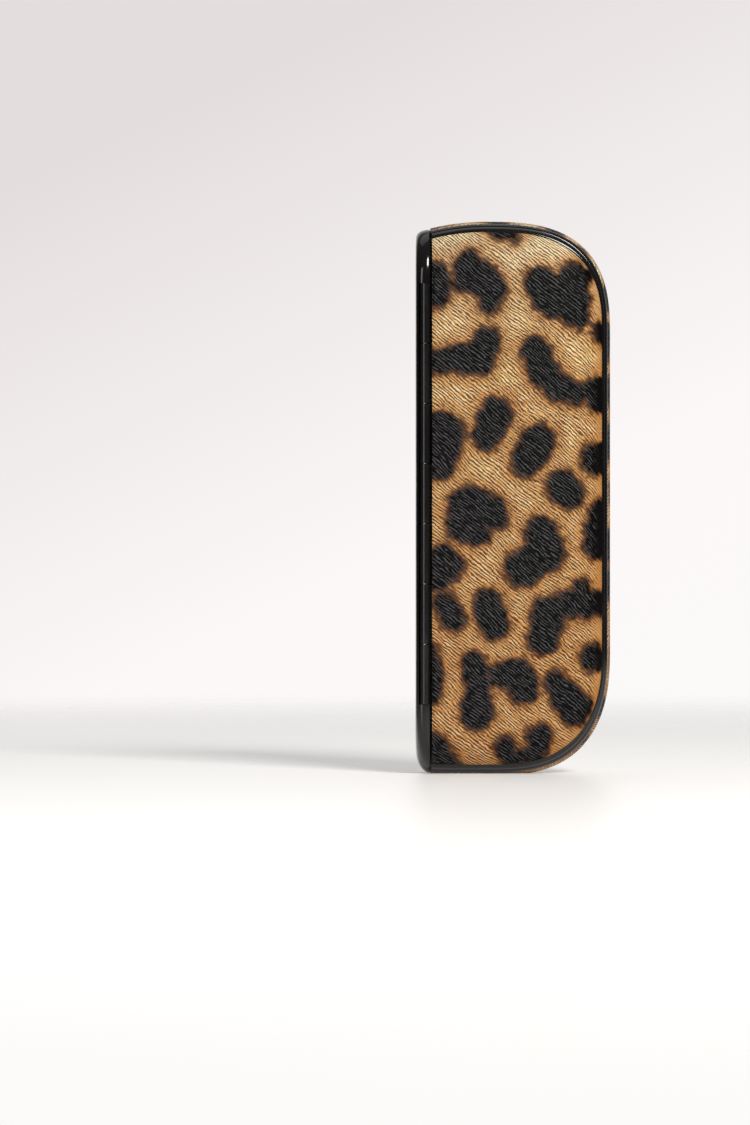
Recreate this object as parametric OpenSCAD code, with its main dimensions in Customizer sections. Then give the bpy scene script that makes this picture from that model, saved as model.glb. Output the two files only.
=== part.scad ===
// Slim clamshell tweezer case with slant tweezers inside.
// The case stands upright: +X runs from the hinged spine to the free edge, the lid faces -Y and +Z is up.
// The origin is in the middle of the footprint, on the surface that the case stands on.

/* [Case] */
// Height of the case at the highest point of its arched top
case_h = 115; // [112:0.5:118]
// Width of the case from the spine face to the free edge
case_w = 40.5; // [38:0.5:44]
// Depth of the case, front to back, which its edges round over in full
case_t = 18.8; // [18:0.2:21]
// Depth of the part line behind the front face
lid_depth = 4.5; // [4:0.1:5]
// Width of the black spine moulding, measured along X
band_w = 2.95; // [2.8:0.05:3.2]

/* [Skins and walls] */
// Thickness of the leather covers
leather_t = 0.7; // [0.5:0.05:0.8]
// Wall of the moulded shells
shell_t = 1.25; // [1:0.05:1.4]
// How far the black beads stand proud of the leather
bead_proud = 0.15; // [0.05:0.05:0.2]
// Thickness of the leather inlay on the spine
inlay_t = 0.3; // [0.2:0.05:0.35]

/* [Hinge] */
// Radius of the hinge barrel
barrel_r = 1.2; // [1.1:0.05:1.25]
// Radius of the hinge pin
pin_r = 0.6; // [0.5:0.05:0.7]
// Number of knuckles, an odd number so that both ends belong to the base
knuckles = 7; // [5:2:11]
// Thickness of the hinge leaves
leaf_t = 0.6; // [0.5:0.05:0.6]

/* [Tweezers] */
// Length of the tweezers
tweezer_l = 95; // [88:0.5:95]
// Widest part of each arm
arm_w = 9.5; // [8:0.5:10]
// Thickness of the arm steel
arm_t = 1.1; // [0.8:0.05:1.2]
// Space between the open tips
tip_gap = 3.7; // [3:0.1:4]
// Distance that the tweezers slide up to clear the tip pocket
lift = 4.8; // [4:0.1:4.8]

/* [Mirror] */
// Width of the mirror
mirror_w = 19; // [16:0.5:20]
// Height of the mirror
mirror_h = 58; // [50:1:60]
// Thickness of the mirror glass
mirror_t = 1; // [0.8:0.1:1.1]

/* [Hidden] */

glue = 0.05;                       // clearance between a skin and the shell under it
part_gap = 0.12;                   // gap between lid and base at the part line
edge_r = case_t / 2;               // the edge is a full half-round
spine_x = -case_w / 2;
side_x = case_w / 2;
front_y = -edge_r;
part_y = front_y + lid_depth;

// Outline of the case, seen from the front
sink = 0.5;                        // the round lower edge is cut off this far up, as a standing flat
apex_x = spine_x + 14.65;          // highest point of the top
top_r = 49;                        // radius of the arched top, left of the apex
shoulder_z = case_h - 24;          // where the free edge starts to curve into the top
shoulder_n = 2.8;                  // fullness of the upper corner, as a superellipse exponent
heel_x = spine_x + 16.25;          // where the bottom starts to curve up to the free edge
heel_z = 26;                       // height of that lower corner
heel_n = 2.6;                      // its fullness
foot_r = 4.5;                      // radius of the lower corner at the spine

// Where the edge beads lie, measured along Y from the middle of the case
bead_back_y = -3.57;
bead_front_y = -6.05;

// Hinge axis: just behind the front face, inside the spine moulding
frame_x = spine_x + band_w;
axis_x = frame_x - barrel_r;
axis_y = front_y + barrel_r;
lid_x = axis_x + 1.55;             // left edge of the lid, clear of the moulding as it swings
barrel_z0 = edge_r + foot_r + 0.6;
barrel_z1 = case_h - edge_r - 3.8;
knuckle_gap = 0.15;
inlay_e = 1.2;                     // margin of the spine inlay
knuckle_pitch = (barrel_z1 - barrel_z0) / knuckles;
shell_x = spine_x + 2.1;           // left wall of the base shell, behind the spine moulding

// Insides
tray_front_y = -4.45;
tray_back_y = 6.6;
tray_s = 6.2;                      // inset of the tray box
flange_s = 3.7;                    // inset of its front flange
tray_x = shell_x + shell_t + 0.1;
nest_x = -1.1;                     // middle of the nest
nest_y = -0.1;
nest_floor_y = 5;
tip_z = 7.3;
pocket_z = tip_z - 0.4;
tip_guard_z = tip_z + 4.3;
nest_top_z = tip_z + tweezer_l + lift + 0.15;

// Tweezers: heights above the tips
arm_top = tweezer_l - 11;          // where the arms leave the welded heel
bow_u = 38;                        // where the arms stand widest apart
bow_max = 4.3;                     // half the distance between the arms' middles there
weld = 0.07;                       // half the line between the two welded strips
arm_root = arm_t / 2 + weld;
flex_gap = 0.06;                   // room for the arms to turn under the heel

play = 0.05;                       // room round a disc or a screw that is let into another piece

// Finger room beside the tweezers, and the pocket that holds their tips
nest_room = 0.6;
nest_r = 1.5;
pocket_half = 3;
pocket_front_y = nest_y - 3.55;
finger_half = 13.5;
finger_z0 = 44;
finger_z1 = 72;
finger_r = 4;
flange_t = 1.1;

// Spine moulding: [from, to, inset] of each step across its width, and the recess for the base shell
moulding_steps = [[0, 0.25, 0.75], [0.25, 0.75, 0.3], [0.75, 1.4, 0.06], [1.4, 1.9, 0], [1.9, 2.4, 0],
                  [2.4, band_w, 0.3]];
recess_steps = [[1.4, 1.9], [1.9, 2.4], [2.4, band_w + 1]];
web_x = spine_x + 1.4;

// Hinge leaves and their screws
leaf_end = 0.2;                    // how far the leaves stop short of the barrel's ends
leaf_clear = 1.75;                 // distance from the hinge axis to the base leaf's straight part
leaf_back_y = 1.2;
lid_inner_y = front_y + leather_t + glue + shell_t;
lid_leaf_y = lid_inner_y + 0.02;
lid_leaf_w = 3.4;
screw_z = [22, 45, 68, 91];
screw_y = -1.5;
screw_hole_r = 0.55;
shank_r = 0.35;
head_r = 0.95;
head_h = 0.45;
pilot_x = spine_x + 0.5;

// Magnets, and the steel plates in the lid that they hold
catch_z = [23, 94];
catch_x = 9;
catch_r = 1.5;
catch_t = 2;
catch_plate_r = 1.7;
catch_plate_t = 0.55;
nest_magnet_r = 2.5;
nest_magnet_z = 85;
nest_skin = 0.2;                   // flocking and foam left over the magnet

// Mirror and its frame
mirror_x = nest_x - mirror_w / 2;
mirror_z = case_h / 2 + 0.5 - mirror_h / 2;
mirror_frame_s = 7.4;
frame_y0 = -7.05;
frame_y1 = -5.9;
glass_y = lid_inner_y + 0.28;

wide_curve = 12;                   // steps along each rounded corner of the outline
round_steps = 9;                   // steps from the middle of the half-round edge to a flat face

leopard = "peru";
ink = [0.05, 0.05, 0.05];
steel = [0.75, 0.76, 0.78];
flock = [0.14, 0.12, 0.11];

// Height of the case's upper and lower outline at x, once the edge is set in by s
function top_z(x, s) = case_h - top_r + sqrt(pow(top_r - s, 2) - pow(x - apex_x, 2));
function foot_z(x, s) =
    let (d = spine_x + foot_r - x) s - sink + (d > 0 ? foot_r - sqrt(foot_r * foot_r - d * d) : 0);
function power(v, n) = pow(max(v, 0), 2 / n);

// The outline from the lower left to the upper left, as an open path that starts and ends at x = left
function outline(s, left) = concat(
    let (right = max(spine_x + foot_r, left) + 0.2)
    [for (i = [0:4]) let (x = left + (right - left) * i / 4) [x, foot_z(x, s)]],
    [for (i = [0:wide_curve]) let (t = 90 * i / wide_curve)
        [heel_x + (side_x - s - heel_x) * power(sin(t), heel_n),
         heel_z - (heel_z + sink - s) * power(cos(t), heel_n)]],
    [for (i = [0:wide_curve]) let (t = 90 * i / wide_curve)
        [apex_x + (side_x - s - apex_x) * power(cos(t), shoulder_n),
         shoulder_z + (case_h - s - shoulder_z) * power(sin(t), shoulder_n)]],
    [for (i = [1:4]) let (x = apex_x + (left - apex_x) * i / 4) [x, top_z(x, s)]]);

// Inset of the outline at depth y, on a surface that lies e inside the half-round edge
function inset(e, y) = edge_r - sqrt(max(pow(edge_r - e, 2) - y * y, 0));
// One ring of points at depth y on that surface, never below the surface that the case stands on
function ring(e, y, left) = [for (p = outline(inset(e, y), left)) [p[0], y, max(p[1], 0)]];
// Depths of the rings from y0 round to the flat face on the side of sign. The rings stand at the same
// angles on every surface, so that one skin lies evenly on the next, and all of them are past the angle start.
function depths(e, y0, sign, start) = concat([y0],
    [for (i = [0:2 * round_steps]) let (a = 90 * i / round_steps - 90)
        if (a > start + 1.5) (edge_r - e) * sin(sign * a)]);

// Four-sided faces split in two, and turned inside out on request
function split(faces, flip) = [for (f = faces)
    each let (g = flip ? [for (i = [len(f) - 1:-1:0]) f[i]] : f)
        len(g) == 4 ? [[g[0], g[1], g[2]], [g[0], g[2], g[3]]] : [g]];
// The faces between ring a and ring b of n points; closed rings join their last point to their first
function band(a, b, n, closed) = [for (i = [0:n - (closed ? 1 : 2)])
    let (k = (i + 1) % n) [a * n + i, a * n + k, b * n + k, b * n + i]];

// A cup-shaped skin between the surfaces e0 (outer) and e1, from depth y0 to the flat face on the side of
// sign. With no wall its spine side is open at x = left, and with one it has a spine wall of that thickness.
module cup(e0, e1, y0, sign, left, wall) {
    start = max([for (e = [e0, e1]) asin(sign * y0 / (edge_r - e))]);
    k = len(depths(e0, y0, sign, start)) - 1;
    closed = wall > 0;
    rings = concat([for (y = depths(e0, y0, sign, start)) ring(e0, y, left)],
                   [for (y = depths(e1, y0, sign, start)) ring(e1, y, left + wall)]);
    n = len(rings[0]);
    last = n - 1;
    in0 = k + 1;
    ends = closed ? [] : concat(
        [for (j = [0:k - 1]) each [[j * n, (j + 1) * n, (in0 + j + 1) * n, (in0 + j) * n],
            [(j + 1) * n + last, j * n + last, (in0 + j) * n + last, (in0 + j + 1) * n + last]]],
        [[k * n, k * n + last, (in0 + k) * n + last, (in0 + k) * n]]);
    faces = concat([for (j = [0:k - 1]) each concat(band(j, j + 1, n, closed), band(in0 + j + 1, in0 + j, n, closed))],
                   band(in0, 0, n, closed), ends,
                   [[for (i = [0:last]) k * n + i], [for (i = [last:-1:0]) (in0 + k) * n + i]]);
    polyhedron([for (r = rings) each r], split(faces, sign < 0));
}

// A bead that follows the outline. Its section is a closed loop of [e, y] points.
module bead(section, left) {
    rings = [for (q = section) ring(q[0], q[1], left)];
    n = len(rings[0]);
    m = len(section);
    faces = concat([for (j = [0:m - 1]) each band(j, (j + 1) % m, n, false)],
                   [[for (j = [0:m - 1]) j * n], [for (j = [m - 1:-1:0]) j * n + n - 1]]);
    polyhedron([for (r = rings) each r], split(faces, false));
}

// Section of a half-round bead between depths y0 and y1, with y0 the front one
function bead_section(y0, y1) = concat(
    [[leather_t, y1], [leather_t, y0]],
    [for (i = [0:4]) let (t = i / 4) [-bead_proud * sin(180 * t) , y0 + (y1 - y0) * t]]);

// The upright oval section of the case at x, e inside its surface, as points in Y and Z
function oval(x, e) = concat(
    [for (i = [0:2 * round_steps]) let (a = -90 + 90 * i / round_steps, r = edge_r - e)
        [r * sin(a), top_z(x, edge_r - r * cos(a))]],
    [for (i = [0:2 * round_steps]) let (a = 90 - 90 * i / round_steps, r = edge_r - e)
        [r * sin(a), foot_z(x, edge_r - r * cos(a))]]);

// A flat slab of that section between x0 and x1, cut at x = at
module oval_slab(x0, x1, e, at) {
    translate([x0, 0, 0]) rotate([90, 0, 90]) linear_extrude(x1 - x0)
        polygon([for (p = oval(at, e)) [p[0], max(p[1], 0)]]);
}

// A rod along X, Y or Z
module rod_x(x0, x1, y, z, r) { translate([x0, y, z]) rotate([0, 90, 0]) cylinder(h = x1 - x0, r = r, $fn = 32); }
module rod_y(x, y0, y1, z, r) { translate([x, y1, z]) rotate([90, 0, 0]) cylinder(h = y1 - y0, r = r, $fn = 32); }
module rod_z(x, y, z0, z1, r) { translate([x, y, z0]) cylinder(h = z1 - z0, r = r, $fn = 48); }
module block(x0, x1, y0, y1, z0, z1) { translate([x0, y0, z0]) cube([x1 - x0, y1 - y0, z1 - z0]); }
// A flat plate between depths y0 and y1, with the outline of points in X and Z
module plate(points, y0, y1) { translate([0, y1, 0]) rotate([90, 0, 0]) linear_extrude(y1 - y0) polygon(points); }
// A block with round ends in the X-Z plane
module slot(x0, x1, y0, y1, z0, z1, r) {
    block(x0 + r, x1 - r, y0, y1, z0, z1);
    block(x0, x1, y0, y1, z0 + r, z1 - r);
    for (x = [x0 + r, x1 - r]) for (z = [z0 + r, z1 - r]) rod_y(x, y0, y1, z, r);
}
function knuckle_z(i) = barrel_z0 + i * knuckle_pitch;
// The knuckles whose number divided by two leaves odd
module barrel(odd, bore) {
    for (i = [odd:2:knuckles - 1]) difference() {
        rod_z(axis_x, axis_y, knuckle_z(i) + knuckle_gap / 2, knuckle_z(i + 1) - knuckle_gap / 2, barrel_r);
        rod_z(axis_x, axis_y, knuckle_z(i) - 1, knuckle_z(i + 1) + 1, bore);
    }
}

// ---- Base ----
module base_leather() {
    color(leopard) cup(0, leather_t, bead_back_y + 0.03, 1, frame_x + 0.03, 0);
}
module base_shell() {
    color(ink) difference() {
        cup(leather_t + glue, leather_t + glue + shell_t, part_y + part_gap / 2, 1, shell_x, shell_t);
        for (z = screw_z) rod_x(shell_x - 1, shell_x + shell_t + 1, screw_y, z, screw_hole_r);
    }
}
module base_bezel() {
    color(ink) bead(bead_section(part_y + part_gap / 2, bead_back_y), frame_x + 0.03);
}
// Black moulding round the spine, rounded in steps, with a thin lip beside the hinge barrel
module spine_frame() {
    lip_x = axis_x - barrel_r - play;
    color(ink) difference() {
        for (q = moulding_steps)
            oval_slab(spine_x + q[0], spine_x + q[1], q[2], spine_x + (q[0] + q[1]) / 2);
        oval_slab(spine_x - 1, spine_x + inlay_t, inlay_e, spine_x);
        for (q = recess_steps) oval_slab(spine_x + q[0], spine_x + q[1], leather_t, spine_x + min(q[1], band_w));
        block(lip_x, frame_x + 1, front_y - 1, part_y, barrel_z0, barrel_z1);
        for (z = screw_z) rod_x(pilot_x - play, web_x + 1, screw_y, z, shank_r + play);
    }
}
module spine_leather() {
    color(leopard) oval_slab(spine_x, spine_x + inlay_t - 0.01, inlay_e + 0.03, spine_x);
}
module base_hinge_leaf() {
    x0 = web_x + 0.03;
    color(ink) difference() {
        union() {
            barrel(0, pin_r + 0.01);
            block(x0, x0 + leaf_t, axis_y + leaf_clear, leaf_back_y, barrel_z0 + leaf_end, barrel_z1 - leaf_end);
            for (i = [0:2:knuckles - 1])
                block(x0, x0 + leaf_t, axis_y + pin_r + 0.15, axis_y + leaf_clear + 0.25,
                      knuckle_z(i) + knuckle_gap, knuckle_z(i + 1) - knuckle_gap);
        }
        for (z = screw_z) rod_x(x0 - 1, x0 + leaf_t + 1, screw_y, z, screw_hole_r);
    }
}
module hinge_pin() {
    color(steel) rod_z(axis_x, axis_y, barrel_z0 + 2 * knuckle_gap, barrel_z1 - 2 * knuckle_gap, pin_r);
}
module hinge_screws() {
    head_x = shell_x + shell_t + 0.02;
    color(steel) for (z = screw_z) {
        rod_x(pilot_x, head_x + 0.1, screw_y, z, shank_r);
        rod_x(head_x, head_x + head_h, screw_y, z, head_r);
    }
}
// Flocked foam tray with the nest for the tweezers, a tip pocket and finger room on both sides
module nest_tray() {
    half = arm_w / 2 + nest_room;
    color(flock) difference() {
        union() {
            plate(outline(tray_s, tray_x), tray_front_y, tray_back_y);
            plate(outline(flange_s, tray_x), tray_front_y, tray_front_y + flange_t);
        }
        slot(nest_x - half, nest_x + half, tray_front_y - 1, nest_floor_y, tip_guard_z, nest_top_z, nest_r);
        block(nest_x - pocket_half, nest_x + pocket_half, pocket_front_y, nest_floor_y, pocket_z, tip_guard_z + 2);
        slot(nest_x - finger_half, nest_x + finger_half, tray_front_y - 1, nest_floor_y,
             finger_z0, finger_z1, finger_r);
        rod_y(nest_x, nest_floor_y + nest_skin, tray_back_y + 1, nest_magnet_z, nest_magnet_r + play);
        for (z = catch_z) rod_y(catch_x, tray_front_y - 1, tray_front_y + catch_t + 2 * play, z, catch_r + play);
        for (z = screw_z) rod_x(tray_x - 1, tray_x + head_h + 0.15, screw_y, z, head_r + 0.25);
    }
}
module nest_magnet() {
    color(steel) rod_y(nest_x, nest_floor_y + nest_skin + play, tray_back_y - 2 * play, nest_magnet_z, nest_magnet_r);
}
module catch_magnets() {
    color(steel) for (z = catch_z) rod_y(catch_x, tray_front_y + play, tray_front_y + play + catch_t, z, catch_r);
}

// ---- Lid ----
module lid_leather() {
    color(leopard) cup(0, leather_t, bead_front_y - 0.03, -1, lid_x, 0);
}
module lid_shell() {
    color(ink) cup(leather_t + glue, leather_t + glue + shell_t, part_y - part_gap / 2, -1, lid_x, 0);
}
module lid_bezel() {
    color(ink) bead(bead_section(bead_front_y, part_y - part_gap / 2), lid_x);
}
module lid_hinge_leaf() {
    color(ink) difference() {
        union() {
            barrel(1, pin_r + 0.04);
            block(lid_x, lid_x + lid_leaf_w, lid_leaf_y, lid_leaf_y + leaf_t, barrel_z0 + leaf_end, barrel_z1 - leaf_end);
            for (i = [1:2:knuckles - 1])
                block(axis_x, lid_x + 1, lid_leaf_y, lid_leaf_y + leaf_t,
                      knuckle_z(i) + knuckle_gap, knuckle_z(i + 1) - knuckle_gap);
        }
        for (z = screw_z) rod_y(lid_x + lid_leaf_w / 2, lid_leaf_y - 1, lid_leaf_y + leaf_t + 1, z, screw_hole_r);
    }
}
module lid_leaf_screws() {
    y1 = lid_leaf_y + leaf_t + 0.02;
    color(steel) for (z = screw_z) rod_y(lid_x + lid_leaf_w / 2, y1, y1 + head_h - 0.07, z, head_r);
}
module mirror_frame() {
    color(ink) difference() {
        plate(outline(mirror_frame_s, lid_x + lid_leaf_w + 0.3), frame_y0, frame_y1);
        slot(mirror_x - 0.1, mirror_x + mirror_w + 0.1, frame_y0 - 1, frame_y1 + 1,
             mirror_z - 0.1, mirror_z + mirror_h + 0.1, 2);
        for (z = catch_z) rod_y(catch_x, frame_y1 - catch_plate_t - 2 * play, frame_y1 + 1, z, catch_plate_r + play);
    }
}
module mirror_pad() {
    color("gray") slot(mirror_x + 1, mirror_x + mirror_w - 1, lid_inner_y + 0.02, glass_y - 0.02,
                       mirror_z + 1, mirror_z + mirror_h - 1, 1.5);
}
module mirror_glass() {
    color("lightsteelblue") slot(mirror_x, mirror_x + mirror_w, glass_y, glass_y + mirror_t,
                                 mirror_z, mirror_z + mirror_h, 1.9);
}
module catch_plates() {
    color(steel) for (z = catch_z)
        rod_y(catch_x, frame_y1 - play - catch_plate_t, frame_y1 - play, z, catch_plate_r);
}

// ---- Tweezers ----
// Half the distance between the arms' middle lines at height u above the tips
function spread(u) = u < bow_u
    ? let (tip = (tip_gap + arm_t) / 2) tip + (bow_max - tip) * sin(90 * u / bow_u)
    : arm_root + (bow_max - arm_root) * (0.5 + 0.5 * cos(180 * (u - bow_u) / (arm_top - bow_u)));
// Outline of the tweezers seen from the broad side, with the slanted tip
blade = [[-1.6, 0], [1.6, 1.4], [2.3, 14], [3.4, 30], [arm_w / 2 - 0.2, 46], [arm_w / 2, 54], [arm_w / 2 - 0.2, 62],
         [3.7, 78], [3.3, 88], [3, 92.2], [2.2, 94.2], [0.9, 95], [-0.9, 95], [-2.2, 94.2], [-3, 92.2],
         [-3.3, 88], [-3.7, 78], [0.2 - arm_w / 2, 62], [-arm_w / 2, 54], [0.2 - arm_w / 2, 46], [-3.4, 30], [-2.3, 14]];
module blade_between(u0, u1, y0, y1) {
    intersection() {
        translate([0, y1, 0]) rotate([90, 0, 0]) linear_extrude(y1 - y0)
            polygon([for (p = blade) [p[0], p[1] * tweezer_l / 95]]);
        block(-arm_w, arm_w, y0 - 1, y1 + 1, u0, u1);
    }
}
// One arm, bowed to the side of sign
module arm(sign) {
    top = arm_top - flex_gap;
    steps = 28;
    us = [for (i = [0:steps]) top * i / steps];
    side = concat([for (u = us) [sign * (spread(u) + arm_t / 2), u]],
                  [for (i = [steps:-1:0]) [sign * (spread(us[i]) - arm_t / 2), us[i]]]);
    color(steel) translate([nest_x, nest_y, tip_z]) intersection() {
        blade_between(-1, top, -6, 6);
        rotate([90, 0, 90]) translate([0, 0, -arm_w]) linear_extrude(2 * arm_w) polygon(side);
    }
}
module tweezer_heel() {
    color(steel) translate([nest_x, nest_y, tip_z])
        blade_between(arm_top, tweezer_l + 1, -arm_t - weld, arm_t + weld);
}
module tweezer_arm_front() { arm(-1); }
module tweezer_arm_rear() { arm(1); }

base_leather();
base_shell();
base_bezel();
spine_frame();
spine_leather();
base_hinge_leaf();
hinge_pin();
hinge_screws();
nest_tray();
nest_magnet();
catch_magnets();
lid_leather();
lid_shell();
lid_bezel();
lid_hinge_leaf();
lid_leaf_screws();
mirror_frame();
mirror_pad();
mirror_glass();
catch_plates();
tweezer_heel();
tweezer_arm_front();
tweezer_arm_rear();
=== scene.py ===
# Slim hinged tweezer case in leopard leather, standing upright, with slant tweezers inside.
import math
import random

import bpy
import bmesh
import numpy as np
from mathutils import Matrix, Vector


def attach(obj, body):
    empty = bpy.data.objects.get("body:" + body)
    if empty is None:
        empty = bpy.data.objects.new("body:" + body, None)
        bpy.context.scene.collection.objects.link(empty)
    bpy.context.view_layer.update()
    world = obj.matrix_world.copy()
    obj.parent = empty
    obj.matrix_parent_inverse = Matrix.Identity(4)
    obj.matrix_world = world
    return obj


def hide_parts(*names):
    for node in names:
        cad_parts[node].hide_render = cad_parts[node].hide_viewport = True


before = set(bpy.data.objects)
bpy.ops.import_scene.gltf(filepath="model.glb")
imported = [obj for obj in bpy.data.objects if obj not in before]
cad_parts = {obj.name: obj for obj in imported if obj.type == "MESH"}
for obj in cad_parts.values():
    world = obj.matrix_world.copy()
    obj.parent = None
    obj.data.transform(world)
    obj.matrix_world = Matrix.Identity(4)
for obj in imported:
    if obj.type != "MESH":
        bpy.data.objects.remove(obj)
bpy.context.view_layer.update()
MM = 0.001

# ---- Sizes of the case, in millimetres, the same as in the part's source ----
CASE_H, CASE_W, CASE_T = 115.0, 40.5, 18.8
EDGE_R = CASE_T / 2
SPINE_X, SIDE_X = -CASE_W / 2, CASE_W / 2
FRONT_Y, PART_Y, PART_GAP = -EDGE_R, -EDGE_R + 4.5, 0.12
BAND_W, LEATHER_T, SHELL_T, GLUE, BEAD_PROUD = 2.95, 0.7, 1.25, 0.05, 0.15
INLAY_T, INLAY_E = 0.3, 1.2
SINK = 0.5
APEX_X, TOP_R = SPINE_X + 14.65, 49.0
SHOULDER_Z, SHOULDER_N = CASE_H - 24, 2.8
HEEL_X, HEEL_Z, HEEL_N = SPINE_X + 16.25, 26.0, 2.6
FOOT_R = 4.5
BEAD_BACK_Y, BEAD_FRONT_Y = -3.57, -6.05
FRAME_X = SPINE_X + BAND_W
AXIS_X = FRAME_X - 1.2
LID_X = AXIS_X + 1.55
SHELL_X = SPINE_X + 2.1
BARREL_Z0, BARREL_Z1 = EDGE_R + FOOT_R + 0.6, CASE_H - EDGE_R - 3.8
NEST_X, NEST_Y, TIP_Z = -1.1, -0.1, 7.3
TWEEZER_L, ARM_T, TIP_GAP = 95.0, 1.1, 3.7
ARM_TOP, BOW_U, BOW_MAX, WELD = 84.0, 38.0, 4.3, 0.07
SLANT_RISE, SLANT_REACH, TIP_HALF = 1.4, 5.0, 1.6

# ---- Fineness and small fits of the visible pieces, in millimetres where they are lengths ----
SKIN_COLUMNS, FLAT_ROWS, LID_ROUND_ROWS, BASE_ROUND_ROWS = 400, 56, 24, 44
BEAD_NARROWING, SEAM, INLAY_PLAY = 0.72, 0.03, 0.05
LEATHER_CREASE, STEEL_CREASE = 50, 35


# ---- Camera: level, looking straight at the lid, with the case right of the middle ----
def place_camera():
    lens = bpy.data.cameras.new("camera")
    lens.sensor_width, lens.lens = 36, 184
    lens.clip_start, lens.clip_end = 0.05, 20
    camera = bpy.data.objects.new("camera", lens)
    camera.location = (-0.0288, -1.2, 0.0439)
    camera.rotation_euler = (math.radians(90), 0, 0)
    bpy.context.collection.objects.link(camera)
    bpy.context.scene.camera = camera


place_camera()


# ---- Outline of the case and its half-round edge ----
def top_z(x, s):
    """Height of the arched top at x, inset by s."""
    return CASE_H - TOP_R + np.sqrt((TOP_R - s) ** 2 - (x - APEX_X) ** 2)


def foot_z(x, s):
    """Height of the foot at x, inset by s, rounded up to the spine."""
    d = np.clip(SPINE_X + FOOT_R - x, 0, FOOT_R)
    return s - SINK + FOOT_R - np.sqrt(FOOT_R ** 2 - d ** 2)


def power(v, n):
    """One side of a superellipse of degree n."""
    return np.maximum(v, 0) ** (2 / n)


def outline(s, left, places):
    """Points along the outline, inset by s, from the lower left to the upper left. places run from 0 to 5:
    foot, lower corner, straight free edge, upper corner and arched top."""
    foot, heel, free, shoulder, top = [np.clip(places - k, 0, 1) for k in range(5)]
    heel, shoulder = heel * math.pi / 2, shoulder * math.pi / 2
    xf, xt = left + (HEEL_X - left) * foot, APEX_X + (left - APEX_X) * top
    parts = [
        (xf, foot_z(xf, s)),
        (HEEL_X + (SIDE_X - s - HEEL_X) * power(np.sin(heel), HEEL_N),
         HEEL_Z - (HEEL_Z + SINK - s) * power(np.cos(heel), HEEL_N)),
        (SIDE_X - s + 0 * free, HEEL_Z + (SHOULDER_Z - HEEL_Z) * free),
        (APEX_X + (SIDE_X - s - APEX_X) * power(np.cos(shoulder), SHOULDER_N),
         SHOULDER_Z + (CASE_H - s - SHOULDER_Z) * power(np.sin(shoulder), SHOULDER_N)),
        (xt, top_z(xt, s)),
    ]
    which = [places <= k + 1 for k in range(4)]
    return (np.select(which, [q[0] for q in parts[:4]], parts[4][0]),
            np.select(which, [q[1] for q in parts[:4]], parts[4][1]))


def even_places(count, left, s=4.0):
    """Places along the outline at even distances from each other."""
    fine = np.linspace(0, 5, 10001)
    x, z = outline(s, left, fine)
    run = np.concatenate([[0], np.cumsum(np.hypot(np.diff(x), np.diff(z)))])
    return np.interp(np.linspace(0, run[-1], count), run, fine)


def inset(e, y):
    """How far the half-round edge, e inside the surface, has drawn in at depth y."""
    return EDGE_R - np.sqrt(np.maximum((EDGE_R - e) ** 2 - y * y, 0))


def smooth_step(v):
    v = np.clip(v, 0, 1)
    return v * v * (3 - 2 * v)


def lid_bead_front(places):
    """Front edge of the lid bead, which narrows along the straight free edge."""
    along = smooth_step((places - 1.35) / 0.6) * (1 - smooth_step((places - 3.05) / 0.6))
    return BEAD_FRONT_Y + BEAD_NARROWING * along


# ---- Mesh helpers ----
def make_piece(name, points, faces, material=None, sharp=40):
    """A smooth-shaded object from points in millimetres."""
    mesh = bpy.data.meshes.new(name)
    mesh.from_pydata([tuple(c * MM for c in p) for p in points], [], [tuple(f) for f in faces])
    mesh.validate()
    work = bmesh.new()
    work.from_mesh(mesh)
    bmesh.ops.remove_doubles(work, verts=work.verts, dist=1e-7)
    bmesh.ops.recalc_face_normals(work, faces=work.faces)
    work.to_mesh(mesh)
    work.free()
    mesh.shade_smooth()
    mesh.set_sharp_from_angle(angle=math.radians(sharp))
    piece = bpy.data.objects.new(name, mesh)
    bpy.context.collection.objects.link(piece)
    if material:
        mesh.materials.append(material)
    return piece


def settle(piece, sharp=40):
    """Applies the modifiers of a piece."""
    graph = bpy.context.evaluated_depsgraph_get()
    mesh = bpy.data.meshes.new_from_object(piece.evaluated_get(graph))
    piece.modifiers.clear()
    old = piece.data
    piece.data = mesh
    bpy.data.meshes.remove(old)
    mesh.shade_smooth()
    mesh.set_sharp_from_angle(angle=math.radians(sharp))


def grid_faces(rows, columns, closed=False):
    """Quads of a grid of points, row by row. A closed grid joins its last row to its first."""
    faces = []
    for i in range(rows if closed else rows - 1):
        k = (i + 1) % rows
        for j in range(columns - 1):
            faces.append((i * columns + j, i * columns + j + 1, k * columns + j + 1, k * columns + j))
    return faces


def sheet_faces(rows, columns):
    """Faces of an outer and an inner grid of points, joined along their first rows."""
    total = rows * columns
    faces = grid_faces(rows, columns)
    faces += [tuple(total + i for i in reversed(f)) for f in faces]
    return faces + [(j, total + j, total + j + 1, j + 1) for j in range(columns - 1)]


def rim_faces(rows, columns):
    """Faces that join an outer and an inner grid at both ends of their rows and along their last rows."""
    total, last = rows * columns, (rows - 1) * columns
    faces = []
    for end in (0, columns - 1):
        for i in range(end, last + end, columns):
            faces.append((i, i + columns, total + i + columns, total + i))
    for j in range(last, last + columns - 1):
        faces.append((j, j + 1, total + j + 1, total + j))
    return faces


def hand_over(piece, body, slot, *nodes):
    """Makes a piece ride on a body, in the place of CAD nodes."""
    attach(piece, body)
    if nodes:
        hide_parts(*nodes)
    return piece


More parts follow.
